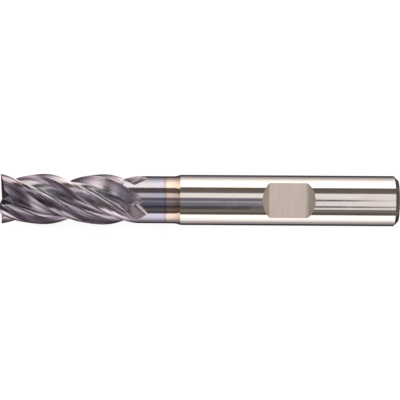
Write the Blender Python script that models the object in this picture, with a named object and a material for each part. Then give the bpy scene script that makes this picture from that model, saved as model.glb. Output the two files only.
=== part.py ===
"""Solid-carbide end mill: 8 mm, four unequally spaced right-hand flutes, relieved neck, flatted shank.

Frame, in metres: the axis lies along X. The origin is the centre of the shank's rear face, +X points
out of that face, +Z is the normal of the clamping flat, and the cutting end is at -X.
Depth below means the distance from the cutting end, towards the shank.
"""
import math

import bmesh
import bpy
import numpy as np
from mathutils import Vector
from mathutils.geometry import tessellate_polygon

MM = 0.001

# Driving dimensions
TOOL_LENGTH = 63.0 * MM
CUTTER_RADIUS = 4.0 * MM
CUTTING_LENGTH = 19.5 * MM
HEAD_LENGTH = 24.0 * MM
NECK_RADIUS = 3.75 * MM
NECK_STRAIGHT_END = 27.3 * MM
SHANK_START = 28.5 * MM
SHANK_RADIUS = 4.0 * MM
REAR_CHAMFER = 0.7 * MM
FLAT_HEIGHT = 2.9 * MM
FLAT_START = -20.5 * MM
FLAT_END = -14.4 * MM
PIECE_GAP = 0.3 * MM

# Teeth: where each cutting edge starts at the cutting end, measured about +X from +Y
HELIX_LEAD = 34.6 * MM
EDGE_ANGLES = [math.radians(a) for a in (-251.0, -169.0, -71.0, 11.0)]
FULL_TURN = 2.0 * math.pi
TWIST = FULL_TURN / HELIX_LEAD
PRIMARY_ARC = math.radians(7.0)
HEEL_ARC = math.radians(19.0)
PRIMARY_RELIEF = math.radians(7.0)
SECONDARY_RELIEF = math.radians(12.0)
BACK_FACET_ANGLE = math.radians(60.0)
BACK_FACET_REACH = math.radians(62.0)
BACK_FACET_END = 22.4 * MM
BACK_FACET_SLANT = 2.66 * MM
BACK_FACET_EXIT_RADIUS = 0.35 * MM

# The grinding wheel that makes a flute. Its axis is swivelled past the helix angle.
CORE_RADIUS = 2.45 * MM
WHEEL_RADIUS = 40.0 * MM
WHEEL_SWIVEL = math.radians(45.0)
WHEEL_CORNER = 0.25 * MM
WHEEL_CONE = math.radians(20.0)
WHEEL_WIDTH = 2.75 * MM
WHEEL_FAR_CORNER = 0.8 * MM
WHEEL_LEAD_IN = math.radians(-15.7)
WHEEL_STOP = 18.4 * MM
WHEEL_REACH = 6.0 * MM
WHEEL_STEP = 0.3 * MM

# End teeth
END_DISH = math.radians(2.0)
END_PRIMARY_RELIEF = math.radians(8.0)
END_SECONDARY_RELIEF = math.radians(22.0)
END_PRIMARY_WIDTH = 0.6 * MM
GASH_START = 0.2 * MM
GASH_ANGLE = math.radians(40.0)
GASH_OPENING = math.radians(65.0)
CUTTER_REACH = 12.0 * MM
CUTTER_OVERSHOOT = 1.0 * MM
FACE_OFFSET = 0.01 * MM
SECTOR_TRIM = math.radians(3.0)
TOOTH_OVERLAP = 3.0 * FACE_OFFSET
GASH_REACH = 6.0 * MM

# Mesh density
SLICE_STEP = 0.62 * MM
RUN_OUT_STEP = 0.4 * MM
STEP_THICKNESS = 0.06 * MM
LAND_RAYS = 2
FACET_RAYS = 3
FLUTE_RAYS = 11
RAY_LEAN = math.radians(24.0)
RAY_SAMPLES = 48
RAY_DEPTH = 2.4 * MM
ROUND_SEGMENTS = 56
FILLET_STEPS = 5
FLUTE_SPAN = math.radians(50.0)
FLUTE_CROWDING = 1.4
FLUTE_AHEAD = math.radians(-95.0)
FLUTE_BEHIND = math.radians(60.0)
OUTSIDE_WHEEL = -1.0
ARC_TOLERANCE = 1e-9
SMALLEST_STEP = 1e-12
CREASE_ANGLE = math.radians(30.0)


def clear_scene():
    for old in list(bpy.data.objects):
        bpy.data.objects.remove(old, do_unlink=True)


def make_material(name, colour, roughness):
    material = bpy.data.materials.new(name)
    material.use_nodes = True
    shader = material.node_tree.nodes["Principled BSDF"]
    shader.inputs["Base Color"].default_value = (*colour, 1.0)
    shader.inputs["Metallic"].default_value = 1.0
    shader.inputs["Roughness"].default_value = roughness
    return material


def add_object(name, bm, material=None):
    bmesh.ops.recalc_face_normals(bm, faces=bm.faces)
    mesh = bpy.data.meshes.new(name)
    bm.to_mesh(mesh)
    bm.free()
    obj = bpy.data.objects.new(name, mesh)
    bpy.context.scene.collection.objects.link(obj)
    if material:
        mesh.materials.append(material)
        mesh.shade_smooth()
        mesh.set_sharp_from_angle(angle=CREASE_ANGLE)
    return obj


def subtract(obj, cutter):
    cutter.hide_render = True
    cutter.display_type = "WIRE"
    modifier = obj.modifiers.new(cutter.name, "BOOLEAN")
    modifier.operation = "DIFFERENCE"
    modifier.solver = "EXACT"
    modifier.object = cutter


def ray_layout():
    """Angle from the tooth's own edge, tooth number and lean of each ray, once round the tool."""
    angles, teeth, leans = [], [], []
    count = len(EDGE_ANGLES)
    for tooth, start in enumerate(EDGE_ANGLES):
        following = EDGE_ANGLES[(tooth + 1) % count]
        gap = (following - start) % FULL_TURN
        stops = list(np.linspace(0.0, PRIMARY_ARC, LAND_RAYS + 1)[:-1])
        stops += list(np.linspace(PRIMARY_ARC, HEEL_ARC, LAND_RAYS + 1)[:-1])
        flute_start = gap - FLUTE_SPAN
        stops += list(np.linspace(HEEL_ARC, flute_start, FACET_RAYS + 1)[:-1])
        fractions = np.linspace(0.0, 1.0, FLUTE_RAYS + 1)[:-1]
        flute = flute_start + (gap - flute_start) * (1.0 - (1.0 - fractions) ** FLUTE_CROWDING)
        stops += list(flute)
        for stop in stops:
            share = max(0.0, (stop - flute_start) / (gap - flute_start), 1.0 - stop / HEEL_ARC)
            angles.append(stop)
            teeth.append(tooth)
            leans.append(RAY_LEAN * share)
    return np.array(angles), np.array(teeth), np.array(leans)


def slice_depths():
    """Distances from the cutting end at which the head is sliced."""
    main = np.linspace(0.0, CUTTING_LENGTH, round(CUTTING_LENGTH / SLICE_STEP))
    tail_start = CUTTING_LENGTH + STEP_THICKNESS
    tail_end = HEAD_LENGTH - PIECE_GAP / 2.0
    tail = np.linspace(tail_start, tail_end, round((tail_end - tail_start) / RUN_OUT_STEP))
    return np.concatenate((main, tail))


def wheel_profile(across):
    """Radius of the wheel at a distance from its side plane."""
    corner = WHEEL_CORNER
    slope = math.tan(WHEEL_CONE)
    radius = WHEEL_RADIUS - (across - corner) * slope
    near = WHEEL_RADIUS - corner + np.sqrt(np.maximum(corner**2 - (corner - across) ** 2, 0.0))
    radius = np.where(across < corner, near, radius)
    far_start = WHEEL_WIDTH - WHEEL_FAR_CORNER
    base = WHEEL_RADIUS - (far_start - corner) * slope - WHEEL_FAR_CORNER
    far = base + np.sqrt(np.maximum(WHEEL_FAR_CORNER**2 - (across - far_start) ** 2, 0.0))
    radius = np.where(across > far_start, far, radius)
    return np.where((across < 0.0) | (across > WHEEL_WIDTH), OUTSIDE_WHEEL, radius)


def wheel_cut(depth, angle, lean, edge_angle):
    """How far the passes of one flute's wheel cut along each ray, from the cutter's radius inwards."""
    steps = np.linspace(0.0, RAY_DEPTH, RAY_SAMPLES)
    cut = np.zeros_like(angle)
    cos_a, sin_a = np.cos(angle), np.sin(angle)
    run_y = -np.cos(lean) * cos_a - np.sin(lean) * sin_a
    run_z = -np.cos(lean) * sin_a + np.sin(lean) * cos_a
    y = CUTTER_RADIUS * cos_a[:, None] + steps * run_y[:, None]
    z = CUTTER_RADIUS * sin_a[:, None] + steps * run_z[:, None]
    first, last = depth - WHEEL_REACH, min(depth + WHEEL_REACH, WHEEL_STOP)
    if last <= first:
        return cut
    for stop in np.linspace(last, first, round((last - first) / WHEEL_STEP) + 1):
        contact = edge_angle + WHEEL_LEAD_IN + TWIST * stop
        radial = y * math.cos(contact) + z * math.sin(contact) - CORE_RADIUS - WHEEL_RADIUS
        tangential = z * math.cos(contact) - y * math.sin(contact)
        axial = depth - stop
        across = math.sin(WHEEL_SWIVEL) * axial - math.cos(WHEEL_SWIVEL) * tangential
        along = math.cos(WHEEL_SWIVEL) * axial + math.sin(WHEEL_SWIVEL) * tangential
        inside = wheel_profile(across) - np.hypot(along, radial)
        deepest = np.where(inside > 0.0, np.arange(RAY_SAMPLES), -1).max(axis=1)
        at = np.clip(deepest, 0, RAY_SAMPLES - 2)
        rows = np.arange(len(cut))
        here, beyond = inside[rows, at], inside[rows, at + 1]
        share = np.where(beyond < 0.0, here / np.maximum(here - beyond, SMALLEST_STEP), 0.0)
        found = (at + np.clip(share, 0.0, 1.0)) * (steps[1] - steps[0])
        cut = np.maximum(cut, np.where(deepest >= 0, found, 0.0))
    return cut


def land_cut(depth, arc, lean):
    """Depth of the ground body along each ray: the reliefs on the teeth, then the round neck."""
    if depth > CUTTING_LENGTH:
        along = CUTTER_RADIUS * np.cos(lean)
        return along - np.sqrt(along**2 - CUTTER_RADIUS**2 + NECK_RADIUS**2)
    primary = np.minimum(arc, PRIMARY_ARC) * math.tan(PRIMARY_RELIEF)
    secondary = np.clip(arc - PRIMARY_ARC, 0.0, HEEL_ARC - PRIMARY_ARC) * math.tan(SECONDARY_RELIEF)
    return np.where(arc < BACK_FACET_REACH, CUTTER_RADIUS * (primary + secondary), 0.0)


def facet_cut(depth, arc, lean):
    """Depth of the flat facet behind the heel along each ray."""
    heel_cut = land_cut(0.0, np.array([HEEL_ARC]), 0.0)[0]
    height = (CUTTER_RADIUS - heel_cut) * math.cos(BACK_FACET_ANGLE - HEEL_ARC)
    past_end = np.maximum(depth - BACK_FACET_END + BACK_FACET_SLANT * (arc - HEEL_ARC), 0.0)
    height = height + past_end**2 / (2.0 * BACK_FACET_EXIT_RADIUS)
    turn = BACK_FACET_ANGLE - arc
    cut = (CUTTER_RADIUS * np.cos(turn) - height) / np.cos(turn + lean)
    return np.where((arc > HEEL_ARC - ARC_TOLERANCE) & (arc < BACK_FACET_REACH), cut, 0.0)


def head_ring(depth, arcs, teeth, leans):
    """Points of the head's outline at one depth from the cutting end."""
    starts = np.array(EDGE_ANGLES)[teeth]
    angles = starts + arcs + TWIST * depth
    cut = np.maximum(land_cut(depth, arcs, leans), facet_cut(depth, arcs, leans))
    for edge_angle in EDGE_ANGLES:
        off = (angles - edge_angle - TWIST * depth + math.pi) % FULL_TURN - math.pi
        near = (off > FLUTE_AHEAD) & (off < FLUTE_BEHIND)
        cut[near] = np.maximum(cut[near], wheel_cut(depth, angles[near], leans[near], edge_angle))
    inward, sideways = CUTTER_RADIUS - cut * np.cos(leans), cut * np.sin(leans)
    y = inward * np.cos(angles) - sideways * np.sin(angles)
    z = inward * np.sin(angles) + sideways * np.cos(angles)
    return np.column_stack((np.full_like(y, depth - TOOL_LENGTH), y, z))


def make_head(material):
    arcs, teeth, leans = ray_layout()
    bm = bmesh.new()
    rings = []
    for depth in slice_depths():
        points = head_ring(depth, arcs, teeth, leans)
        rings.append([bm.verts.new(Vector(point)) for point in points])
    count = len(arcs)
    for ring, following in zip(rings, rings[1:]):
        for i in range(count):
            j = (i + 1) % count
            bm.faces.new((ring[i], ring[j], following[j]))
            bm.faces.new((ring[i], following[j], following[i]))
    for ring in (rings[0], rings[-1]):
        outline = [vert.co / MM for vert in ring]
        for corners in tessellate_polygon([outline]):
            bm.faces.new([ring[i] for i in corners])
    head = add_object("cutting_head", bm, material)
    cuts = [end_cutters(number) for number in range(len(EDGE_ANGLES))]
    for kind in zip(*cuts):
        for cutter in kind:
            subtract(head, cutter)
    return head


def hull(name, points):
    bm = bmesh.new()
    for point in points:
        bm.verts.new(point)
    result = bmesh.ops.convex_hull(bm, input=bm.verts)
    loose = [e for e in result["geom_interior"] if isinstance(e, bmesh.types.BMVert)]
    bmesh.ops.delete(bm, geom=loose, context="VERTS")
    return add_object(name, bm)


def end_cutters(number):
    """The three ground cuts at one end tooth: gash, secondary relief and primary relief."""
    start = EDGE_ANGLES[number]
    gap = (EDGE_ANGLES[(number + 1) % len(EDGE_ANGLES)] - start) % FULL_TURN
    outward = Vector((0.0, math.cos(start), math.sin(start)))
    behind = Vector((0.0, -math.sin(start), math.cos(start)))

    def place(along, back, depth):
        return outward * along + behind * back + Vector((depth - TOOL_LENGTH, 0.0, 0.0))

    def prism(name, corners, height):
        low = [place(along, back, -CUTTER_OVERSHOOT) for along, back in corners]
        high = [place(along, back, height(along, back)) for along, back in corners]
        return hull(f"{name}_{number}", low + high)

    def primary(along, back):
        return (CUTTER_RADIUS - along) * math.tan(END_DISH) + back * math.tan(END_PRIMARY_RELIEF)

    def secondary(along, back):
        return primary(along, END_PRIMARY_WIDTH) + (back - END_PRIMARY_WIDTH) * math.tan(
            END_SECONDARY_RELIEF
        )

    sector = gap - SECTOR_TRIM
    far = (CUTTER_REACH * math.cos(sector), CUTTER_REACH * math.sin(sector))
    front, step = -TOOTH_OVERLAP, END_PRIMARY_WIDTH
    first = prism("end_primary", [(front, front), (CUTTER_REACH, front), far], primary)
    inner = (step / math.tan(sector), step)
    second = prism("end_secondary", [inner, (CUTTER_REACH, step), far], secondary)

    reach = GASH_REACH
    fall = math.tan(GASH_ANGLE)
    start_along = -(GASH_START + CUTTER_OVERSHOOT) / fall
    bottom = GASH_START + reach * fall
    width = (bottom + CUTTER_OVERSHOOT) * math.tan(GASH_OPENING)
    gash = hull(
        f"gash_{number}",
        [
            place(start_along, FACE_OFFSET, -CUTTER_OVERSHOOT),
            place(reach, FACE_OFFSET, -CUTTER_OVERSHOOT),
            place(reach, -width, -CUTTER_OVERSHOOT),
            place(reach, FACE_OFFSET, bottom),
        ],
    )
    return gash, second, first


def turned(name, profile, material):
    """A solid turned about X from (depth, radius) points, closed by flat faces."""
    bm = bmesh.new()
    rings = []
    for depth, radius in profile:
        ring = []
        for i in range(ROUND_SEGMENTS):
            angle = FULL_TURN * (i + 0.5) / ROUND_SEGMENTS
            y, z = radius * math.cos(angle), radius * math.sin(angle)
            ring.append(bm.verts.new((depth - TOOL_LENGTH, y, z)))
        rings.append(ring)
    for ring, following in zip(rings, rings[1:]):
        for i in range(ROUND_SEGMENTS):
            j = (i + 1) % ROUND_SEGMENTS
            bm.faces.new((ring[i], ring[j], following[j], following[i]))
    bm.faces.new(rings[0])
    bm.faces.new(rings[-1])
    return add_object(name, bm, material)


def make_neck(material):
    """Plain neck that sweeps up to the shank's radius on a concave arc."""
    rise = SHANK_RADIUS - NECK_RADIUS
    run = SHANK_START - NECK_STRAIGHT_END
    profile = [(HEAD_LENGTH + PIECE_GAP / 2.0, NECK_RADIUS)]
    for i in range(FILLET_STEPS + 1):
        share = i / FILLET_STEPS
        profile.append((NECK_STRAIGHT_END + run * share, NECK_RADIUS + rise * share**2))
    return turned("relieved_neck", profile, material)


def make_shank(material):
    profile = [
        (SHANK_START + PIECE_GAP, SHANK_RADIUS),
        (TOOL_LENGTH - REAR_CHAMFER, SHANK_RADIUS),
        (TOOL_LENGTH, SHANK_RADIUS - REAR_CHAMFER),
    ]
    shank = turned("weldon_shank", profile, material)
    side = SHANK_RADIUS + CUTTER_OVERSHOOT
    climb = side - FLAT_HEIGHT
    outline = [
        (FLAT_START, FLAT_HEIGHT),
        (FLAT_END, FLAT_HEIGHT),
        (FLAT_END + climb, side),
        (FLAT_START - climb, side),
    ]
    points = [Vector((x, y, z)) for x, z in outline for y in (-side, side)]
    subtract(shank, hull("flat_cutter", points))
    return shank


def main():
    clear_scene()
    make_head(make_material("coated_carbide", (0.23, 0.21, 0.25), 0.28))
    make_neck(make_material("coated_neck", (0.28, 0.26, 0.33), 0.12))
    make_shank(make_material("bright_carbide", (0.72, 0.70, 0.68), 0.10))


main()
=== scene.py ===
import math

import bmesh
import bpy
import numpy as np
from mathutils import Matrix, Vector
from mathutils.geometry import tessellate_polygon


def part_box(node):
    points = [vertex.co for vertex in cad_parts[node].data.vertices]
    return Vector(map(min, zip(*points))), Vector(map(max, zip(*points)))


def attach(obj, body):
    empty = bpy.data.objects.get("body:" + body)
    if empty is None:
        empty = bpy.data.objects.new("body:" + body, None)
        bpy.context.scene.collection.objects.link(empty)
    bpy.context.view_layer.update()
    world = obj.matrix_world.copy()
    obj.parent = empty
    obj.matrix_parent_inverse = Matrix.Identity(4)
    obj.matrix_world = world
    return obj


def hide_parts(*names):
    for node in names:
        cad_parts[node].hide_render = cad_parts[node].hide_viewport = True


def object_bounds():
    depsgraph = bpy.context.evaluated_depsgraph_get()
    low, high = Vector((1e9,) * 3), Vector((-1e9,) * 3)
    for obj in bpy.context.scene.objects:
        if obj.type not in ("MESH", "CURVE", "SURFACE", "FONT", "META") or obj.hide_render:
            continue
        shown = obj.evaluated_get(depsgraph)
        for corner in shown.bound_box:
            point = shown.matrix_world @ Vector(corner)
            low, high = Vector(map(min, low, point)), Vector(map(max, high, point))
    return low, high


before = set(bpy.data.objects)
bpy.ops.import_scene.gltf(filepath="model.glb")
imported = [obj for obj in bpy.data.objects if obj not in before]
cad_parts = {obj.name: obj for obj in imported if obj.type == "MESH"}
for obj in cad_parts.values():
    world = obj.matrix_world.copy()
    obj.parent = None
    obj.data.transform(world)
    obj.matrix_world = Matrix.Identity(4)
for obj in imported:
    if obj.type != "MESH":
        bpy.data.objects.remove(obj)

CAD_BOX = [list(corner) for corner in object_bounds()]
MM = 0.001
FULL_TURN = 2.0 * math.pi

# Places taken from the frame
TIP_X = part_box("cutting_head")[0][0]
REAR_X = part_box("weldon_shank")[1][0]
HEAD_SEAM_X = (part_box("cutting_head")[1][0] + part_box("relieved_neck")[0][0]) / 2.0
SHANK_SEAM_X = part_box("relieved_neck")[1][0]
CUTTER_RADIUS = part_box("cutting_head")[1][1]
SHANK_RADIUS = 4.0 * MM

# The design's own sizes, as the CAD script has them
CUTTING_LENGTH = 19.5 * MM
NECK_RADIUS = 3.75 * MM
NECK_STRAIGHT_END = 27.3 * MM
REAR_CHAMFER = 0.7 * MM
FLAT_HEIGHT = 2.9 * MM
FLAT_START = -20.5 * MM
FLAT_END = -14.4 * MM
FLAT_FILLET = 1.0 * MM
HELIX_LEAD = 34.6 * MM
TWIST = FULL_TURN / HELIX_LEAD
EDGE_ANGLES = [math.radians(a) for a in (-251.0, -169.0, -71.0, 11.0)]
PRIMARY_ARC = math.radians(7.0)
HEEL_ARC = math.radians(19.0)
PRIMARY_RELIEF = math.radians(7.0)
SECONDARY_RELIEF = math.radians(12.0)
BACK_FACET_ANGLE = math.radians(60.0)
BACK_FACET_REACH = math.radians(62.0)
BACK_FACET_END = 22.4 * MM
BACK_FACET_SLANT = 2.66 * MM
BACK_FACET_EXIT_RADIUS = 0.35 * MM
CORE_RADIUS = 2.45 * MM
WHEEL_RADIUS = 40.0 * MM
WHEEL_SWIVEL = math.radians(45.0)
WHEEL_CORNER = 0.25 * MM
WHEEL_CONE = math.radians(20.0)
WHEEL_WIDTH = 2.75 * MM
WHEEL_FAR_CORNER = 0.8 * MM
WHEEL_LEAD_IN = math.radians(-15.7)
WHEEL_STOP = 18.4 * MM
WHEEL_REACH = 6.0 * MM
WHEEL_STEP = 0.2 * MM
END_DISH = math.radians(2.0)
END_PRIMARY_RELIEF = math.radians(8.0)
END_SECONDARY_RELIEF = math.radians(22.0)
END_PRIMARY_WIDTH = 0.6 * MM
GASH_START = 0.2 * MM
GASH_ANGLE = math.radians(40.0)
GASH_OPENING = math.radians(65.0)
CUTTER_REACH = 12.0 * MM
CUTTER_OVERSHOOT = 1.0 * MM
FACE_OFFSET = 0.01 * MM
SECTOR_TRIM = math.radians(3.0)
TOOTH_OVERLAP = 3.0 * FACE_OFFSET
GASH_REACH = 6.0 * MM
LAND_REACH = 0.93 * CUTTER_RADIUS
FLAT_WALL_ANGLE = math.radians(45.0)
FLAT_MARGIN = 2.0 * MM

# Mesh density
TIP_LENGTH = 5.0 * MM
SLICE_STEP = 0.16 * MM
RUN_OUT_START = 12.3 * MM
RUN_OUT_STEP = 0.1 * MM
STEP_THICKNESS = 0.04 * MM
LAND_RAYS = 4
FACET_RAYS = 10
FLUTE_RAYS = 40
RAY_LEAN = math.radians(24.0)
RAY_SAMPLES = 60
RAY_DEPTH = 2.4 * MM
ROUND_SEGMENTS = 256
FILLET_STEPS = 16
FLAT_FILLET_STEPS = 8
FLUTE_SPAN = math.radians(50.0)
FLUTE_CROWDING = 1.4
FLUTE_AHEAD = math.radians(-95.0)
FLUTE_BEHIND = math.radians(60.0)
CONSTANT_DEPTH = 10.0 * MM
CREASE_ANGLE = math.radians(24.0)
TURNED_CREASE_ANGLE = math.radians(12.0)

# Tolerances
OUTSIDE_WHEEL = -1.0
SMALLEST_STEP = 1e-12
ARC_TOLERANCE = 1e-9
SAME_PLACE = 1e-7
EDGE_TOLERANCE = math.radians(0.25)
LAND_TOLERANCE = EDGE_TOLERANCE + 0.01
ON_NECK = 0.004 * MM
BELOW_SHANK = 0.01 * MM


# ---------------------------------------------------------------- meshes


def add_piece(name, bm, materials, crease=CREASE_ANGLE):
    bmesh.ops.recalc_face_normals(bm, faces=bm.faces)
    for face in bm.faces:
        face.smooth = True
    for edge in bm.edges:
        sharp = edge.is_manifold and edge.calc_face_angle() > crease
        sharp = sharp or len({face.material_index for face in edge.link_faces}) > 1
        edge.smooth = not sharp
    mesh = bpy.data.meshes.new(name)
    bm.to_mesh(mesh)
    bm.free()
    for material in materials:
        mesh.materials.append(material)
    piece = bpy.data.objects.new(name, mesh)
    bpy.context.scene.collection.objects.link(piece)
    return piece


def cut_with(bm, cutters):
    """The mesh in bm less the convex cutters, as a new bmesh."""
    body = add_piece("body", bm, [])
    for cutter in cutters:
        modifier = body.modifiers.new(cutter.name, "BOOLEAN")
        modifier.operation = "DIFFERENCE"
        modifier.solver = "EXACT"
        modifier.object = cutter
    graph = bpy.context.evaluated_depsgraph_get()
    result = bmesh.new()
    result.from_object(body, graph)
    for spent in [body, *cutters]:
        bpy.data.objects.remove(spent, do_unlink=True)
    return result


def hull(name, points):
    bm = bmesh.new()
    for point in points:
        bm.verts.new(point)
    bmesh.ops.convex_hull(bm, input=bm.verts)
    return add_piece(name, bm, [])


def bridge(bm, ring, following):
    count = len(ring)
    for i in range(count):
        j = (i + 1) % count
        bm.faces.new((ring[i], ring[j], following[j]))
        bm.faces.new((ring[i], following[j], following[i]))


def cap(bm, ring):
    outline = [vert.co / MM for vert in ring]
    for corners in tessellate_polygon([outline]):
        bm.faces.new([ring[i] for i in corners])


# ---------------------------------------------------------------- fluted head


def ray_layout():
    """Angle from the tooth's own edge, tooth number and lean of each ray, once round the tool."""
    angles, teeth, leans = [], [], []
    count = len(EDGE_ANGLES)
    for tooth, start in enumerate(EDGE_ANGLES):
        gap = (EDGE_ANGLES[(tooth + 1) % count] - start) % FULL_TURN
        stops = list(np.linspace(0.0, PRIMARY_ARC, LAND_RAYS + 1)[:-1])
        stops += list(np.linspace(PRIMARY_ARC, HEEL_ARC, LAND_RAYS + 1)[:-1])
        flute_start = gap - FLUTE_SPAN
        stops += list(np.linspace(HEEL_ARC, flute_start, FACET_RAYS + 1)[:-1])
        fractions = np.linspace(0.0, 1.0, FLUTE_RAYS + 1)[:-1]
        crowded = 1.0 - (1.0 - fractions) ** FLUTE_CROWDING
        stops += list(flute_start + (gap - flute_start) * crowded)
        for stop in stops:
            share = max(0.0, (stop - flute_start) / (gap - flute_start), 1.0 - stop / HEEL_ARC)
            angles.append(stop)
            teeth.append(tooth)
            leans.append(RAY_LEAN * share)
    return np.array(angles), np.array(teeth), np.array(leans)


def wheel_profile(across):
    """Radius of the flute's grinding wheel at a distance from its side plane."""
    corner = WHEEL_CORNER
    slope = math.tan(WHEEL_CONE)
    radius = WHEEL_RADIUS - (across - corner) * slope
    near = WHEEL_RADIUS - corner + np.sqrt(np.maximum(corner**2 - (corner - across) ** 2, 0.0))
    radius = np.where(across < corner, near, radius)
    far_start = WHEEL_WIDTH - WHEEL_FAR_CORNER
    base = WHEEL_RADIUS - (far_start - corner) * slope - WHEEL_FAR_CORNER
    far = base + np.sqrt(np.maximum(WHEEL_FAR_CORNER**2 - (across - far_start) ** 2, 0.0))
    radius = np.where(across > far_start, far, radius)
    return np.where((across < 0.0) | (across > WHEEL_WIDTH), OUTSIDE_WHEEL, radius)


def wheel_cut(depth, angle, lean, edge_angle):
    """How far the passes of one flute's wheel cut along each ray, from the cutter's radius inwards."""
    steps = np.linspace(0.0, RAY_DEPTH, RAY_SAMPLES)
    cut = np.zeros_like(angle)
    cos_a, sin_a = np.cos(angle), np.sin(angle)
    run_y = -np.cos(lean) * cos_a - np.sin(lean) * sin_a
    run_z = -np.cos(lean) * sin_a + np.sin(lean) * cos_a
    y = CUTTER_RADIUS * cos_a[:, None] + steps * run_y[:, None]
    z = CUTTER_RADIUS * sin_a[:, None] + steps * run_z[:, None]
    first, last = depth - WHEEL_REACH, min(depth + WHEEL_REACH, WHEEL_STOP)
    if last <= first:
        return cut
    for stop in np.linspace(last, first, round((last - first) / WHEEL_STEP) + 1):
        contact = edge_angle + WHEEL_LEAD_IN + TWIST * stop
        radial = y * math.cos(contact) + z * math.sin(contact) - CORE_RADIUS - WHEEL_RADIUS
        tangential = z * math.cos(contact) - y * math.sin(contact)
        axial = depth - stop
        across = math.sin(WHEEL_SWIVEL) * axial - math.cos(WHEEL_SWIVEL) * tangential
        along = math.cos(WHEEL_SWIVEL) * axial + math.sin(WHEEL_SWIVEL) * tangential
        inside = wheel_profile(across) - np.hypot(along, radial)
        deepest = np.where(inside > 0.0, np.arange(RAY_SAMPLES), -1).max(axis=1)
        at = np.clip(deepest, 0, RAY_SAMPLES - 2)
        rows = np.arange(len(cut))
        here, beyond = inside[rows, at], inside[rows, at + 1]
        share = np.where(beyond < 0.0, here / np.maximum(here - beyond, SMALLEST_STEP), 0.0)
        found = (at + np.clip(share, 0.0, 1.0)) * (steps[1] - steps[0])
        cut = np.maximum(cut, np.where(deepest >= 0, found, 0.0))
    return cut


def land_cut(depth, arc, lean):
    """Depth of the ground body along each ray: the reliefs on the teeth, then the round neck."""
    if depth > CUTTING_LENGTH:
        along = CUTTER_RADIUS * np.cos(lean)
        return along - np.sqrt(along**2 - CUTTER_RADIUS**2 + NECK_RADIUS**2)
    primary = np.minimum(arc, PRIMARY_ARC) * math.tan(PRIMARY_RELIEF)
    secondary = np.clip(arc - PRIMARY_ARC, 0.0, HEEL_ARC - PRIMARY_ARC) * math.tan(SECONDARY_RELIEF)
    return np.where(arc < BACK_FACET_REACH, CUTTER_RADIUS * (primary + secondary), 0.0)


def facet_cut(depth, arc, lean):
    """Depth of the flat facet behind the heel along each ray."""
    heel_cut = land_cut(0.0, np.array([HEEL_ARC]), 0.0)[0]
    height = (CUTTER_RADIUS - heel_cut) * math.cos(BACK_FACET_ANGLE - HEEL_ARC)
    past_end = np.maximum(depth - BACK_FACET_END + BACK_FACET_SLANT * (arc - HEEL_ARC), 0.0)
    height = height + past_end**2 / (2.0 * BACK_FACET_EXIT_RADIUS)
    turn = BACK_FACET_ANGLE - arc
    cut = (CUTTER_RADIUS * np.cos(turn) - height) / np.cos(turn + lean)
    return np.where((arc > HEEL_ARC - ARC_TOLERANCE) & (arc < BACK_FACET_REACH), cut, 0.0)


def ring_cut(depth, arcs, teeth, leans):
    """Depth of the finished surface along every ray at one distance from the tip."""
    angles = np.array(EDGE_ANGLES)[teeth] + arcs + TWIST * depth
    cut = np.maximum(land_cut(depth, arcs, leans), facet_cut(depth, arcs, leans))
    for edge_angle in EDGE_ANGLES:
        off = (angles - edge_angle - TWIST * depth + math.pi) % FULL_TURN - math.pi
        near = (off > FLUTE_AHEAD) & (off < FLUTE_BEHIND)
        cut[near] = np.maximum(cut[near], wheel_cut(depth, angles[near], leans[near], edge_angle))
    return cut


def ring_points(depth, cut, arcs, teeth, leans):
    angles = np.array(EDGE_ANGLES)[teeth] + arcs + TWIST * depth
    inward, sideways = CUTTER_RADIUS - cut * np.cos(leans), cut * np.sin(leans)
    y = inward * np.cos(angles) - sideways * np.sin(angles)
    z = inward * np.sin(angles) + sideways * np.cos(angles)
    return np.column_stack((np.full_like(y, depth + TIP_X), y, z))


def end_cutters(number):
    """The three ground cuts at one end tooth: gash, secondary relief and primary relief."""
    start = EDGE_ANGLES[number]
    gap = (EDGE_ANGLES[(number + 1) % len(EDGE_ANGLES)] - start) % FULL_TURN
    outward = Vector((0.0, math.cos(start), math.sin(start)))
    behind = Vector((0.0, -math.sin(start), math.cos(start)))

    def place(along, back, depth):
        return outward * along + behind * back + Vector((depth + TIP_X, 0.0, 0.0))

    def prism(name, corners, height):
        low = [place(along, back, -CUTTER_OVERSHOOT) for along, back in corners]
        high = [place(along, back, height(along, back)) for along, back in corners]
        return hull(f"{name}_{number}", low + high)

    def primary(along, back):
        return (CUTTER_RADIUS - along) * math.tan(END_DISH) + back * math.tan(END_PRIMARY_RELIEF)

    def secondary(along, back):
        past = back - END_PRIMARY_WIDTH
        return primary(along, END_PRIMARY_WIDTH) + past * math.tan(END_SECONDARY_RELIEF)

    sector = gap - SECTOR_TRIM
    far = (CUTTER_REACH * math.cos(sector), CUTTER_REACH * math.sin(sector))
    front, step = -TOOTH_OVERLAP, END_PRIMARY_WIDTH
    first = prism("end_primary", [(front, front), (CUTTER_REACH, front), far], primary)
    inner = (step / math.tan(sector), step)
    second = prism("end_secondary", [inner, (CUTTER_REACH, step), far], secondary)

    fall = math.tan(GASH_ANGLE)
    start_along = -(GASH_START + CUTTER_OVERSHOOT) / fall
    bottom = GASH_START + GASH_REACH * fall
    width = (bottom + CUTTER_OVERSHOOT) * math.tan(GASH_OPENING)
    gash = hull(
        f"gash_{number}",
        [
            place(start_along, FACE_OFFSET, -CUTTER_OVERSHOOT),
            place(GASH_REACH, FACE_OFFSET, -CUTTER_OVERSHOOT),
            place(GASH_REACH, -width, -CUTTER_OVERSHOOT),
            place(GASH_REACH, FACE_OFFSET, bottom),
        ],
    )
    return gash, second, first


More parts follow.
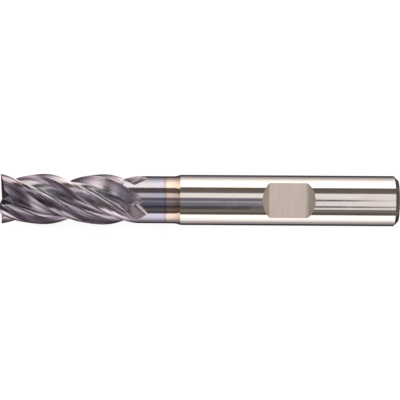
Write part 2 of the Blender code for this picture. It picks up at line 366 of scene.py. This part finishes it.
def mark_land_lines(bm):
    """Makes the cutting edges, the relief steps and the heels sharp."""
    lines = {0.0: EDGE_TOLERANCE, PRIMARY_ARC: LAND_TOLERANCE, HEEL_ARC: LAND_TOLERANCE}

    def line_of(vert):
        depth = vert.co.x - TIP_X
        if depth > CUTTING_LENGTH + STEP_THICKNESS / 2.0:
            return None
        if math.hypot(vert.co.y, vert.co.z) <= LAND_REACH:
            return None
        angle = math.atan2(vert.co.z, vert.co.y) - TWIST * depth
        for number, start in enumerate(EDGE_ANGLES):
            arc = (angle - start + math.pi) % FULL_TURN - math.pi
            for line, tolerance in lines.items():
                if abs(arc - line) < tolerance:
                    return number, line
        return None

    found = {vert: line_of(vert) for vert in bm.verts}
    for edge in bm.edges:
        one, two = (found[vert] for vert in edge.verts)
        if one is not None and one == two:
            edge.smooth = False


def make_head(head_material, neck_material):
    arcs, teeth, leans = ray_layout()
    constant = ring_cut(CONSTANT_DEPTH, arcs, teeth, leans)

    def ring(bm, depth):
        cut = constant if depth < RUN_OUT_START else ring_cut(depth, arcs, teeth, leans)
        return [bm.verts.new(point) for point in ring_points(depth, cut, arcs, teeth, leans)]

    tip = bmesh.new()
    tip_depths = np.linspace(0.0, TIP_LENGTH, round(TIP_LENGTH / SLICE_STEP) + 1)
    rings = [ring(tip, depth) for depth in tip_depths]
    for one, two in zip(rings, rings[1:]):
        bridge(tip, one, two)
    cap(tip, rings[0])
    cap(tip, rings[-1])
    cuts = [end_cutters(number) for number in range(len(EDGE_ANGLES))]
    bm = cut_with(tip, [cutter for kind in zip(*cuts) for cutter in kind])
    seam_x = TIP_LENGTH + TIP_X
    at_seam = [f for f in bm.faces if all(abs(v.co.x - seam_x) < SAME_PLACE for v in f.verts)]
    bmesh.ops.delete(bm, geom=at_seam, context="FACES_ONLY")

    main = np.linspace(TIP_LENGTH, RUN_OUT_START, round((RUN_OUT_START - TIP_LENGTH) / SLICE_STEP))
    run_out = np.linspace(
        RUN_OUT_START, CUTTING_LENGTH, round((CUTTING_LENGTH - RUN_OUT_START) / RUN_OUT_STEP)
    )
    tail_start = CUTTING_LENGTH + STEP_THICKNESS
    tail_end = HEAD_SEAM_X - TIP_X
    tail = np.linspace(tail_start, tail_end, round((tail_end - tail_start) / RUN_OUT_STEP))
    rings = [ring(bm, depth) for depth in np.concatenate((main, run_out[1:], tail))]
    for one, two in zip(rings, rings[1:]):
        bridge(bm, one, two)
    cap(bm, rings[-1])
    bmesh.ops.remove_doubles(bm, verts=bm.verts, dist=SAME_PLACE)

    for face in bm.faces:
        past_teeth = all(v.co.x > CUTTING_LENGTH + TIP_X for v in face.verts)
        radii = [math.hypot(v.co.y, v.co.z) for v in face.verts]
        on_neck = all(abs(radius - NECK_RADIUS) < ON_NECK for radius in radii)
        face.material_index = int(past_teeth and on_neck)
    head = add_piece("fluted_head", bm, [head_material, neck_material])
    marked = bmesh.new()
    marked.from_mesh(head.data)
    mark_land_lines(marked)
    marked.to_mesh(head.data)
    marked.free()
    return head


# ---------------------------------------------------------------- turned pieces


def turn(profile):
    """A closed bmesh turned about X from (x, radius) points."""
    bm = bmesh.new()
    rings = []
    for x, radius in profile:
        ring = []
        for i in range(ROUND_SEGMENTS):
            angle = FULL_TURN * (i + 0.5) / ROUND_SEGMENTS
            ring.append(bm.verts.new((x, radius * math.cos(angle), radius * math.sin(angle))))
        rings.append(ring)
    for ring, following in zip(rings, rings[1:]):
        for i in range(ROUND_SEGMENTS):
            j = (i + 1) % ROUND_SEGMENTS
            bm.faces.new((ring[i], ring[j], following[j], following[i]))
    bm.faces.new(rings[0])
    bm.faces.new(rings[-1])
    return bm


def make_neck(material):
    """Plain neck that sweeps up to the shank's radius on a concave arc."""
    straight_end = NECK_STRAIGHT_END + TIP_X
    profile = [(HEAD_SEAM_X, NECK_RADIUS)]
    for i in range(FILLET_STEPS + 1):
        share = i / FILLET_STEPS
        x = straight_end + (SHANK_SEAM_X - straight_end) * share
        profile.append((x, NECK_RADIUS + (SHANK_RADIUS - NECK_RADIUS) * share**2))
    return add_piece("coated_neck", turn(profile), [material], TURNED_CREASE_ANGLE)


def flat_outline():
    """Points of the clamping flat's cutter: the flat, a rounded rear corner and the 45 degree walls."""
    side = SHANK_RADIUS + CUTTER_OVERSHOOT
    climb = side - FLAT_HEIGHT
    points = [(FLAT_START - climb, side), (FLAT_START, FLAT_HEIGHT)]
    tangent = FLAT_FILLET * math.tan(FLAT_WALL_ANGLE / 2.0)
    centre_x, centre_z = FLAT_END - tangent, FLAT_HEIGHT + FLAT_FILLET
    for i in range(FLAT_FILLET_STEPS + 1):
        angle = FLAT_WALL_ANGLE * i / FLAT_FILLET_STEPS - math.pi / 2.0
        x = centre_x + FLAT_FILLET * math.cos(angle)
        points.append((x, centre_z + FLAT_FILLET * math.sin(angle)))
    points.append((FLAT_END + climb, side))
    return points


def make_shank(shank_material, flat_material):
    profile = [
        (SHANK_SEAM_X, SHANK_RADIUS),
        (REAR_X - REAR_CHAMFER, SHANK_RADIUS),
        (REAR_X, SHANK_RADIUS - REAR_CHAMFER),
    ]
    side = SHANK_RADIUS + CUTTER_OVERSHOOT
    corners = [Vector((x, y, z)) for x, z in flat_outline() for y in (-side, side)]
    bm = cut_with(turn(profile), [hull("flat_cutter", corners)])
    for face in bm.faces:
        middle = face.calc_center_median()
        inside = math.hypot(middle.y, middle.z) < SHANK_RADIUS - BELOW_SHANK
        near_flat = FLAT_START - FLAT_MARGIN < middle.x < FLAT_END + FLAT_MARGIN
        face.material_index = int(inside and near_flat)
    return add_piece("ground_shank", bm, [shank_material, flat_material], TURNED_CREASE_ANGLE)


# ---------------------------------------------------------------- materials


class Nodes:
    """Short hand for building one material's node tree."""

    def __init__(self, tree):
        self.tree = tree

    def add(self, kind, **settings):
        node = self.tree.nodes.new(kind)
        for key, value in settings.items():
            setattr(node, key, value)
        return node

    def feed(self, socket, value):
        if isinstance(value, bpy.types.NodeSocket):
            self.tree.links.new(value, socket)
        else:
            socket.default_value = value

    def maths(self, operation, one, two=0.0):
        node = self.add("ShaderNodeMath", operation=operation)
        self.feed(node.inputs[0], one)
        self.feed(node.inputs[1], two)
        return node.outputs[0]

    def product(self, one, two):
        return self.maths("MULTIPLY", one, two)

    def vector(self, x, y, z):
        node = self.add("ShaderNodeCombineXYZ")
        for socket, value in zip(node.inputs, (x, y, z)):
            self.feed(socket, value)
        return node.outputs[0]

    def position(self):
        """Object coordinates in millimetres as separate x, y and z."""
        split = self.add("ShaderNodeSeparateXYZ")
        self.tree.links.new(self.add("ShaderNodeTexCoord").outputs["Object"], split.inputs[0])
        return [self.product(socket, 1.0 / MM) for socket in split.outputs]

    def noise(self, vector, scale, detail=3.0, roughness=0.55):
        node = self.add("ShaderNodeTexNoise")
        self.feed(node.inputs["Vector"], vector)
        node.inputs["Scale"].default_value = scale
        node.inputs["Detail"].default_value = detail
        node.inputs["Roughness"].default_value = roughness
        return node.outputs["Fac"]

    def fit(self, value, low, high, to_low=0.0, to_high=1.0):
        node = self.add("ShaderNodeMapRange")
        for socket, number in zip(node.inputs, (value, low, high, to_low, to_high)):
            self.feed(socket, number)
        return node.outputs[0]

    def ramp(self, value, stops, interpolation="LINEAR"):
        node = self.add("ShaderNodeValToRGB")
        node.color_ramp.interpolation = interpolation
        elements = node.color_ramp.elements
        while len(elements) < len(stops):
            elements.new(0.5)
        for element, (place, colour) in zip(elements, stops):
            element.position = place
            element.color = (*colour, 1.0)
        self.feed(node.inputs[0], value)
        return node.outputs[0]

    def blend(self, share, one, two, mode="MIX"):
        node = self.add("ShaderNodeMix", data_type="RGBA", blend_type=mode)
        self.feed(node.inputs[0], share)
        self.feed(node.inputs[6], one)
        self.feed(node.inputs[7], two)
        return node.outputs[2]

    def bump(self, height, strength, distance):
        node = self.add("ShaderNodeBump")
        node.inputs["Strength"].default_value = strength
        node.inputs["Distance"].default_value = distance
        self.feed(node.inputs["Height"], height)
        return node.outputs[0]


def metal(name):
    material = bpy.data.materials.new(name)
    material.use_nodes = True
    shader = material.node_tree.nodes["Principled BSDF"]
    shader.inputs["Metallic"].default_value = 1.0
    return material, shader, Nodes(material.node_tree)


# The grinding lines' noise is read at this radius in millimetres, moved by this much per millimetre
LANE_RADIUS = 4.0
LANE_DRIFT = 0.05
# A painted shade streak and a painted highlight line, colours of the coating, and the depths in
# millimetres over which it lightens in the run-out
PAINTED_SHADE_STREAK = (0.085, 0.065, 0.095, 1.0)
PAINTED_HIGHLIGHT_LINE = (0.85, 0.77, 0.83, 1.0)
VIOLET_CLOUD = (0.43, 0.36, 0.48, 1.0)
RUN_OUT_TINT = (0.80, 0.70, 0.80, 1.0)
RUN_OUT_FADE = (18.5, 21.0)
# Radii in millimetres between which the surface is a back facet, each with its soft edge
FACET_INNER = (2.85, 3.05)
FACET_OUTER = (3.8, 3.72)


def head_metal():
    """Ground carbide under a violet-grey coating, with wheel lines that follow the helix in roughness and
    bump, and painted highlight lines and painted shade streaks along the helix in its colour.
    """
    material, shader, nodes = metal("coated_flutes")
    x, y, z = nodes.position()
    radius = nodes.maths("SQRT", nodes.maths("ADD", nodes.product(y, y), nodes.product(z, z)))
    helix = nodes.maths("SUBTRACT", nodes.maths("ARCTAN2", z, y), nodes.product(x, TWIST * MM))
    lane_y = nodes.product(nodes.maths("COSINE", helix), LANE_RADIUS)
    lane_z = nodes.product(nodes.maths("SINE", helix), LANE_RADIUS)
    drift = nodes.product(x, LANE_DRIFT)
    lanes = nodes.vector(nodes.maths("ADD", lane_y, drift), lane_z, nodes.product(radius, 2.0))
    fine = nodes.noise(lanes, 9.0, 4.0, 0.65)
    broad = nodes.noise(lanes, 1.6, 2.0)
    cloud = nodes.noise(nodes.vector(x, y, z), 0.5, 2.0)

    by_radius = nodes.ramp(
        nodes.fit(radius, 2.4, 4.0),
        [
            (0.0, (0.40, 0.42, 0.46)),
            (0.25, (0.44, 0.435, 0.48)),
            (0.5, (0.44, 0.385, 0.48)),
            (0.8, (0.46, 0.385, 0.48)),
            (1.0, (0.68, 0.60, 0.65)),
        ],
    )
    # Painted shade: dark streaks along the helix, darkening the base colour.
    in_painted_shade = nodes.fit(broad, 0.38, 0.56, 0.85, 0.0)
    with_painted_shade = nodes.blend(in_painted_shade, by_radius, PAINTED_SHADE_STREAK)
    # Painted highlight: bright lines along the helix in the base colour, on the same noise as the wheel
    # lines in roughness and bump.
    in_painted_highlight = nodes.fit(fine, 0.5, 0.75, 0.0, 0.7)
    with_painted_streaks = nodes.blend(in_painted_highlight, with_painted_shade, PAINTED_HIGHLIGHT_LINE)
    in_cloud = nodes.fit(cloud, 0.3, 0.7, 0.0, 0.3)
    tinted = nodes.blend(in_cloud, with_painted_streaks, VIOLET_CLOUD)
    depth = nodes.maths("SUBTRACT", x, TIP_X / MM)
    run_out = nodes.fit(depth, *RUN_OUT_FADE, 0.0, 0.6)
    nodes.feed(shader.inputs["Base Color"], nodes.blend(run_out, tinted, RUN_OUT_TINT))
    on_facet = nodes.product(nodes.fit(radius, *FACET_INNER), nodes.fit(radius, *FACET_OUTER))
    fine_share, broad_share = nodes.fit(fine, 0.3, 0.7, 0.14, 0.22), nodes.fit(broad, 0.3, 0.7, 0.0, 0.06)
    streaky = nodes.maths("ADD", fine_share, broad_share)
    nodes.feed(shader.inputs["Roughness"], nodes.maths("ADD", streaky, nodes.product(on_facet, 0.13)))
    height = nodes.maths("ADD", fine, nodes.product(broad, 1.5))
    nodes.feed(shader.inputs["Normal"], nodes.bump(height, 0.35, 0.012 * MM))
    return material


# Colours along the neck, by depth from the cutting end in millimetres
NECK_COLOURS = [
    (19.0, (0.47, 0.44, 0.50)),
    (23.6, (0.46, 0.44, 0.51)),
    (24.6, (0.43, 0.435, 0.55)),
    (25.8, (0.43, 0.435, 0.56)),
    (26.15, (0.40, 0.29, 0.36)),
    (26.5, (0.68, 0.56, 0.52)),
    (27.3, (0.66, 0.53, 0.46)),
    (28.5, (0.50, 0.38, 0.30)),
]


def neck_metal():
    """Polished carbide where the coating thins out: violet-grey, blue, a red line, then gold-brown."""
    material, shader, nodes = metal("coating_fringe")
    x, y, z = nodes.position()
    depth = nodes.maths("SUBTRACT", x, TIP_X / MM)
    wander = nodes.noise(nodes.vector(nodes.product(x, 0.4), y, z), 0.9, 2.0)
    shifted = nodes.maths("ADD", depth, nodes.fit(wander, 0.3, 0.7, -0.12, 0.12))
    first, last = NECK_COLOURS[0][0], NECK_COLOURS[-1][0]
    stops = [((place - first) / (last - first), colour) for place, colour in NECK_COLOURS]
    fringe = nodes.ramp(nodes.fit(shifted, first, last), stops)
    lines = nodes.noise(nodes.vector(nodes.product(x, 14.0), y, z), 1.0, 3.0, 0.6)
    shaded = nodes.blend(nodes.fit(lines, 0.35, 0.65, 0.0, 0.12), fringe, (0.6, 0.58, 0.6, 1.0))
    nodes.feed(shader.inputs["Base Color"], shaded)
    nodes.feed(shader.inputs["Roughness"], nodes.fit(lines, 0.3, 0.7, 0.07, 0.14))
    nodes.feed(shader.inputs["Normal"], nodes.bump(lines, 0.12, 0.002 * MM))
    return material


def shank_metal():
    """Mirror-ground bare carbide, with faint lines round the shank and a few dull spots."""
    material, shader, nodes = metal("mirror_ground_carbide")
    x, y, z = nodes.position()
    lines = nodes.noise(nodes.vector(nodes.product(x, 16.0), y, z), 1.0, 4.0, 0.6)
    patches = nodes.noise(nodes.vector(nodes.product(x, 0.3), y, z), 1.2, 3.0)
    colour = nodes.ramp(
        nodes.fit(patches, 0.3, 0.7), [(0.0, (0.76, 0.725, 0.70)), (1.0, (0.82, 0.79, 0.765))]
    )
    shaded = nodes.blend(nodes.fit(lines, 0.4, 0.7, 0.0, 0.18), colour, (0.66, 0.63, 0.61, 1.0))
    nodes.feed(shader.inputs["Base Color"], shaded)
    in_lines, in_patches = nodes.fit(lines, 0.3, 0.7, 0.05, 0.10), nodes.fit(patches, 0.5, 0.8, 0.0, 0.04)
    nodes.feed(shader.inputs["Roughness"], nodes.maths("ADD", in_lines, in_patches))
    nodes.feed(shader.inputs["Normal"], nodes.bump(lines, 0.10, 0.002 * MM))
    return material


def flat_metal():
    """The clamping flat: matte, cross-ground in straight lines at right angles to the axis."""
    material, shader, nodes = metal("cross_ground_flat")
    x, y, z = nodes.position()
    across = nodes.vector(nodes.product(x, 7.0), nodes.product(y, 0.25), z)
    lines = nodes.noise(across, 1.0, 4.0, 0.7)
    patches = nodes.noise(nodes.vector(x, y, z), 0.7, 2.0)
    colour = nodes.ramp(
        nodes.fit(lines, 0.3, 0.7), [(0.0, (0.80, 0.705, 0.62)), (1.0, (1.0, 0.925, 0.845))]
    )
    shaded = nodes.blend(nodes.fit(patches, 0.3, 0.7, 0.0, 0.25), colour, (0.92, 0.83, 0.755, 1.0))
    nodes.feed(shader.inputs["Base Color"], shaded)
    nodes.feed(shader.inputs["Roughness"], nodes.fit(lines, 0.3, 0.7, 0.42, 0.56))
    nodes.feed(shader.inputs["Normal"], nodes.bump(lines, 0.4, 0.008 * MM))
    return material


# ---------------------------------------------------------------- studio


FLOOR_HALF_WIDTH = 900.0 * MM
FLOOR_CLEARANCE = 0.02 * MM


def floor_material():
    """Plain pale floor, lightly lit from below so that it stays near white."""
    material = bpy.data.materials.new("pale_floor")
    material.use_nodes = True
    shader = material.node_tree.nodes["Principled BSDF"]
    shader.inputs["Base Color"].default_value = (0.6, 0.6, 0.6, 1.0)
    shader.inputs["Emission Color"].default_value = (0.80, 0.798, 0.796, 1.0)
    shader.inputs["Emission Strength"].default_value = 1.0
    shader.inputs["Roughness"].default_value = 0.9
    shader.inputs["Specular IOR Level"].default_value = 0.0
    return material


def make_floor():
    """The floor is left out of reflections, so the metal mirrors the studio's lights and flags."""
    bm = bmesh.new()
    half, level = FLOOR_HALF_WIDTH, CAD_BOX[0][2] - FLOOR_CLEARANCE
    for x, y in ((-half, -half), (half, -half), (half, half), (-half, half)):
        bm.verts.new((x, y, level))
    bm.faces.new(bm.verts)
    floor = add_piece("floor", bm, [floor_material()])
    floor.visible_glossy = False


# Brightness met round the tool's length, by angle from straight up towards +Y, in degrees
LONG_BANDS = [
    (-180.0, (0.05, 0.045, 0.05)),
    (-138.0, (0.06, 0.055, 0.055)),
    (-131.0, (0.42, 0.38, 0.39)),
    (-118.0, (0.45, 0.41, 0.42)),
    (-110.0, (0.92, 0.88, 0.86)),
    (-92.0, (1.45, 1.37, 1.31)),
    (-73.0, (1.6, 1.5, 1.41)),
    (-69.0, (0.12, 0.105, 0.095)),
    (-60.0, (0.10, 0.09, 0.08)),
    (-54.0, (0.22, 0.19, 0.165)),
    (-45.0, (0.21, 0.18, 0.155)),
    (-41.0, (0.08, 0.07, 0.08)),
    (-29.0, (0.08, 0.072, 0.09)),
    (-25.0, (0.20, 0.19, 0.225)),
    (-13.0, (0.19, 0.185, 0.22)),
    (-3.0, (0.17, 0.16, 0.20)),
    (9.0, (0.19, 0.175, 0.205)),
    (12.0, (1.0, 0.94, 0.92)),
    (30.0, (1.0, 0.95, 0.93)),
    (34.0, (0.17, 0.145, 0.135)),
    (59.0, (0.135, 0.11, 0.10)),
    (63.0, (1.85, 1.74, 1.52)),
    (86.0, (1.8, 1.69, 1.52)),
    (108.0, (1.05, 0.99, 0.95)),
    (118.0, (0.6, 0.55, 0.55)),
    (131.0, (0.42, 0.38, 0.39)),
    (138.0, (0.10, 0.09, 0.09)),
    (180.0, (0.05, 0.045, 0.05)),
]


# Parts of the sweep that differ along the tool: middle, half width and softness in degrees
FRONT_LINE = (-8.0, 2.0, 3.5)
REAR_PANEL = (-8.0, 32.0, 3.0)
UPPER_DARK_LINE = (1.0, 2.5, 3.0)
LOWER_DARK_LINE = (-28.5, 2.5, 2.5)
# Where each starts and ends towards the shank's end, as the x of a unit direction
FRONT_LINE_END = (0.050, 0.045)
REAR_PANEL_START = (0.050, 0.060)
REAR_PANEL_END = (0.75, 0.6)
UPPER_DARK_LINE_END = (0.115, 0.088)
LOWER_DARK_LINE_END = (0.16, 0.09)
END_FLAG_START = (0.72, 0.9)
# Their brightness
FRONT_LINE_COLOUR = (0.55, 0.55, 0.58, 1.0)
REAR_PANEL_COLOUR = (0.95, 0.88, 0.87, 1.0)
DARK_LINE_COLOUR = (0.10, 0.09, 0.10, 1.0)
END_FLAG_COLOUR = (0.12, 0.10, 0.10, 1.0)
BACKDROP_COLOUR = (0.95, 0.95, 0.95, 1.0)


def band_ramps(nodes, around, bands):
    """A colour sweep through more stops than one ramp holds: two ramps joined at straight up."""
    left = [(stop / 180.0 + 1.0, colour) for stop, colour in bands if stop < 0.0]
    right = [(stop / 180.0, colour) for stop, colour in bands if stop > 0.0]
    below = nodes.ramp(nodes.maths("ADD", around, 1.0), left)
    above = nodes.ramp(around, right)
    return nodes.blend(nodes.fit(around, 0.0, 0.03), below, above)


def streak(nodes, value, middle, half, soft):
    """One where value lies within half of middle, falling to nothing over soft."""
    away = nodes.maths("ABSOLUTE", nodes.maths("SUBTRACT", value, middle))
    return nodes.fit(away, half + soft, half)


def make_world():
    """Soft studio: long side lights, dark flags at the ends and a panel over the shank's rear half.

    The metal mirrors these bands. The camera itself sees a plain pale backdrop in their place.
    """
    world = bpy.data.worlds.new("studio")
    bpy.context.scene.world = world
    world.use_nodes = True
    nodes = Nodes(world.node_tree)
    background = world.node_tree.nodes["Background"]
    split = nodes.add("ShaderNodeSeparateXYZ")
    nodes.feed(split.inputs[0], nodes.add("ShaderNodeTexCoord").outputs["Generated"])
    x, y, z = split.outputs
    around = nodes.maths("DIVIDE", nodes.maths("ARCTAN2", y, z), math.pi)
    sweep = band_ramps(nodes, around, LONG_BANDS)

    degrees = nodes.product(around, 180.0)
    front_line = nodes.product(streak(nodes, degrees, *FRONT_LINE), nodes.fit(x, *FRONT_LINE_END))
    sweep = nodes.blend(nodes.product(front_line, 0.55), sweep, FRONT_LINE_COLOUR)

    over_rear = nodes.product(nodes.fit(x, *REAR_PANEL_START), nodes.fit(x, *REAR_PANEL_END))
    rear_panel = nodes.product(streak(nodes, degrees, *REAR_PANEL), over_rear)
    sweep = nodes.blend(rear_panel, sweep, REAR_PANEL_COLOUR)
    upper_end, lower_end = nodes.fit(x, *UPPER_DARK_LINE_END), nodes.fit(x, *LOWER_DARK_LINE_END)
    upper_line = nodes.product(streak(nodes, degrees, *UPPER_DARK_LINE), upper_end)
    lower_line = nodes.product(streak(nodes, degrees, *LOWER_DARK_LINE), lower_end)
    dark_line = nodes.product(nodes.maths("MAXIMUM", upper_line, lower_line), over_rear)
    sweep = nodes.blend(dark_line, sweep, DARK_LINE_COLOUR)

    flagged = nodes.fit(nodes.maths("ABSOLUTE", x), *END_FLAG_START)
    sweep = nodes.blend(flagged, sweep, END_FLAG_COLOUR)
    seen = nodes.add("ShaderNodeLightPath").outputs["Is Camera Ray"]
    nodes.feed(background.inputs["Color"], nodes.blend(seen, sweep, BACKDROP_COLOUR))
    background.inputs["Strength"].default_value = 1.0


CAMERA_DISTANCE = 260.0 * MM
CAMERA_FIELD = 63.55 * MM
CAMERA_OFFSET = 0.1 * MM
CAMERA_ROLL = math.radians(0.35)


def make_camera():
    """Straight above the clamping flat and the middle of the tool, rolled very slightly."""
    data = bpy.data.cameras.new("camera")
    camera = bpy.data.objects.new("camera", data)
    bpy.context.scene.collection.objects.link(camera)
    middle_x = (TIP_X + REAR_X) / 2.0 + CAMERA_OFFSET
    camera.location = (middle_x, 0.0, CAMERA_DISTANCE)
    camera.rotation_euler = (0.0, 0.0, CAMERA_ROLL)
    data.angle = 2.0 * math.atan(CAMERA_FIELD / 2.0 / CAMERA_DISTANCE)
    data.clip_start = 0.01
    data.clip_end = 20.0
    bpy.context.scene.camera = camera


def main():
    head_finish, neck_finish = head_metal(), neck_metal()
    head = make_head(head_finish, neck_finish)
    neck = make_neck(neck_finish)
    shank = make_shank(shank_metal(), flat_metal())
    for piece, node, slot in (
        (head, "cutting_head", "coated_head"),
        (neck, "relieved_neck", "coated_neck"),
        (shank, "weldon_shank", "bright_shank"),
    ):
        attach(piece, "root")
        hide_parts(node)
    make_floor()
    make_world()
    make_camera()
    bpy.context.scene.view_settings.view_transform = "Standard"


main()
